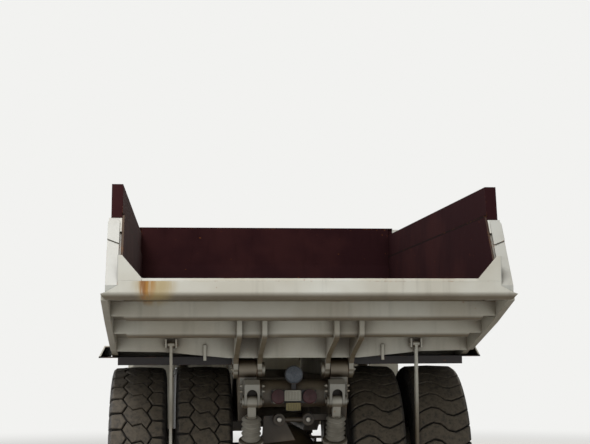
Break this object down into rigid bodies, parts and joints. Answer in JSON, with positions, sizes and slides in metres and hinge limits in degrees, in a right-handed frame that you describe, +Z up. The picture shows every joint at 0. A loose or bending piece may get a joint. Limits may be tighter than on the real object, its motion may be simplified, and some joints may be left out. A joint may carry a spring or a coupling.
{
  "type": "rigid dump truck",
  "caption": "Rigid rear dump truck for quarries with twin rear tyres, a steel tipping body hinged at the rail ends, a half cab and a cab guard.",
  "frame": {"origin": "middle of the ground rectangle below the truck", "axes": "+Y forward along the truck, +X to its right, +Z up"},
  "size_m": [3.31, 7.8, 3.288],
  "materials": {
    "cream_paint": "satin",
    "beige_paint": "satin",
    "maroon_paint": "matte",
    "dark_paint": "satin",
    "bare_steel": "satin",
    "chrome_rod": "gloss",
    "tyre_rubber": "matte",
    "black_rubber": "matte",
    "glass": "gloss",
    "lamp_plastic": "gloss",
    "seat_cover": "satin",
    "black_plastic": "matte"
  },
  "bodies": {
    "chassis": {"main_frame": "beige_paint", "cross_tubes": "beige_paint", "hoist_brackets": "beige_paint", "strut_towers": "beige_paint", "deck_supports": "beige_paint", "front_bumper": "cream_paint", "radiator_grille": "cream_paint", "engine_hood": "cream_paint", "powertrain": "bare_steel", "front_decks": "cream_paint", "access_ladders": "cream_paint", "handrails": "cream_paint", "cab_shell": "cream_paint", "cab_roof": "cream_paint", "cab_glass": "glass", "driver_seat": "seat_cover", "driver_controls": "black_plastic", "fuel_tank": "cream_paint", "hydraulic_tank": "cream_paint", "air_cleaner": "cream_paint", "exhaust": "bare_steel", "headlamps": "dark_paint", "mirrors": "dark_paint", "front_struts": "chrome_rod", "steering_barrels": "beige_paint", "rear_axle": "beige_paint", "rear_struts": "cream_paint", "strut_bellows": "black_rubber", "tail_lamps": "lamp_plastic"},
    "door": {"cab_door": "cream_paint", "cab_door_glass": "glass"},
    "dump_body": {"body_floor": "maroon_paint", "body_underframe": "cream_paint", "body_rails": "cream_paint", "body_sides": "cream_paint", "front_wall": "maroon_paint", "cab_guard": "cream_paint", "sideboards": "maroon_paint"},
    "ejector_l": {"rock_ejector_l": "cream_paint"},
    "ejector_r": {"rock_ejector_r": "cream_paint"},
    "hoist_barrel_l": {"hoist_barrel_l": "dark_paint"},
    "hoist_stage_l": {"hoist_stage_l": "chrome_rod"},
    "hoist_rod_l": {"hoist_rod_l": "chrome_rod"},
    "hoist_barrel_r": {"hoist_barrel_r": "dark_paint"},
    "hoist_stage_r": {"hoist_stage_r": "chrome_rod"},
    "hoist_rod_r": {"hoist_rod_r": "chrome_rod"},
    "knuckle_l": {"knuckle_l": "beige_paint"},
    "knuckle_r": {"knuckle_r": "beige_paint"},
    "tie_rod": {"tie_rod": "beige_paint"},
    "steering_rod_l": {"steering_rod_l": "chrome_rod"},
    "steering_rod_r": {"steering_rod_r": "chrome_rod"},
    "wheel_fl": {"front_rim_l": "cream_paint", "front_tyre_l": "tyre_rubber"},
    "wheel_fr": {"front_rim_r": "cream_paint", "front_tyre_r": "tyre_rubber"},
    "wheels_rl": {"rear_rims_l": "cream_paint", "rear_tyres_l": "tyre_rubber"},
    "wheels_rr": {"rear_rims_r": "cream_paint", "rear_tyres_r": "tyre_rubber"}
  },
  "joints": [
    {"name": "body_tilt", "type": "hinge", "parent": "chassis", "child": "dump_body", "pos_m": [0, -2.32, 1.622], "axis": [1, 0, 0], "range_deg": [0, 48]},
    {"name": "steering", "type": "hinge", "parent": "chassis", "child": "knuckle_l", "pos_m": [-0.9, 2, 0.82], "axis": [0, 0, 1], "range_deg": [-32, 32]},
    {"name": "steering_right", "type": "hinge", "parent": "chassis", "child": "knuckle_r", "pos_m": [0.9, 2, 0.82], "axis": [0, 0, 1], "range_deg": [-32.5, 32.5]},
    {"name": "tie_rod_pin", "type": "hinge", "parent": "knuckle_l", "child": "tie_rod", "pos_m": [-0.9, 1.64, 0.64], "axis": [0, 0, 1], "range_deg": [-32.5, 32.5]},
    {"name": "steering_stroke_l", "type": "slide", "parent": "chassis", "child": "steering_rod_l", "axis": [0, 1, 0], "range_m": [-0.152, 0.152]},
    {"name": "steering_stroke_r", "type": "slide", "parent": "chassis", "child": "steering_rod_r", "axis": [0, 1, 0], "range_m": [-0.152, 0.152]},
    {"name": "front_wheel_l", "type": "hinge", "parent": "knuckle_l", "child": "wheel_fl", "pos_m": [-1.32, 2, 0.82], "axis": [1, 0, 0], "continuous": true},
    {"name": "front_wheel_r", "type": "hinge", "parent": "knuckle_r", "child": "wheel_fr", "pos_m": [1.32, 2, 0.82], "axis": [1, 0, 0], "continuous": true},
    {"name": "rear_wheels_l", "type": "hinge", "parent": "chassis", "child": "wheels_rl", "pos_m": [-1.04, -1.5, 0.82], "axis": [1, 0, 0], "continuous": true},
    {"name": "rear_wheels_r", "type": "hinge", "parent": "chassis", "child": "wheels_rr", "pos_m": [1.04, -1.5, 0.82], "axis": [1, 0, 0], "continuous": true},
    {"name": "cab_door_hinge", "type": "hinge", "parent": "chassis", "child": "door", "pos_m": [-1.519, 2.596, 2.4], "axis": [0, 0, -1], "range_deg": [0, 75]},
    {"name": "rock_ejector_l", "type": "hinge", "parent": "dump_body", "child": "ejector_l", "pos_m": [-1.04, -2.485, 1.835], "axis": [-1, 0, 0], "range_deg": [-8, 48]},
    {"name": "rock_ejector_r", "type": "hinge", "parent": "dump_body", "child": "ejector_r", "pos_m": [1.04, -2.485, 1.835], "axis": [-1, 0, 0], "range_deg": [-8, 48]},
    {"name": "hoist_swing_l", "type": "hinge", "parent": "chassis", "child": "hoist_barrel_l", "pos_m": [-0.94, -0.52, 0.64], "axis": [1, 0, 0], "range_deg": [-0.5, 30.62]},
    {"name": "hoist_stage_l", "type": "slide", "parent": "hoist_barrel_l", "child": "hoist_stage_l", "axis": [0, 0.3834, 0.9236], "range_m": [-0.002, 0.78947]},
    {"name": "hoist_rod_l", "type": "slide", "parent": "hoist_stage_l", "child": "hoist_rod_l", "axis": [0, 0.3834, 0.9236], "range_m": [-0.002, 0.78947]},
    {"name": "hoist_swing_r", "type": "hinge", "parent": "chassis", "child": "hoist_barrel_r", "pos_m": [0.94, -0.52, 0.64], "axis": [1, 0, 0], "range_deg": [-0.5, 30.62]},
    {"name": "hoist_stage_r", "type": "slide", "parent": "hoist_barrel_r", "child": "hoist_stage_r", "axis": [0, 0.3834, 0.9236], "range_m": [-0.002, 0.78947]},
    {"name": "hoist_rod_r", "type": "slide", "parent": "hoist_stage_r", "child": "hoist_rod_r", "axis": [0, 0.3834, 0.9236], "range_m": [-0.002, 0.78947]}
  ],
  "couplings": [
    {"joint": "steering_right", "follows": "steering", "ratio": 1},
    {"joint": "tie_rod_pin", "follows": "steering", "ratio": -1},
    {"joint": "steering_stroke_l", "follows": "steering", "m_per_rad": 0.2675},
    {"joint": "steering_stroke_r", "follows": "steering", "m_per_rad": -0.2675},
    {"joint": "hoist_swing_l", "follows": "body_tilt", "ratio": 0.62755},
    {"joint": "hoist_stage_l", "follows": "body_tilt", "m_per_rad": 0.93997},
    {"joint": "hoist_rod_l", "follows": "body_tilt", "m_per_rad": 0.93997},
    {"joint": "hoist_swing_r", "follows": "body_tilt", "ratio": 0.62755},
    {"joint": "hoist_stage_r", "follows": "body_tilt", "m_per_rad": 0.93997},
    {"joint": "hoist_rod_r", "follows": "body_tilt", "m_per_rad": 0.93997}
  ]
}
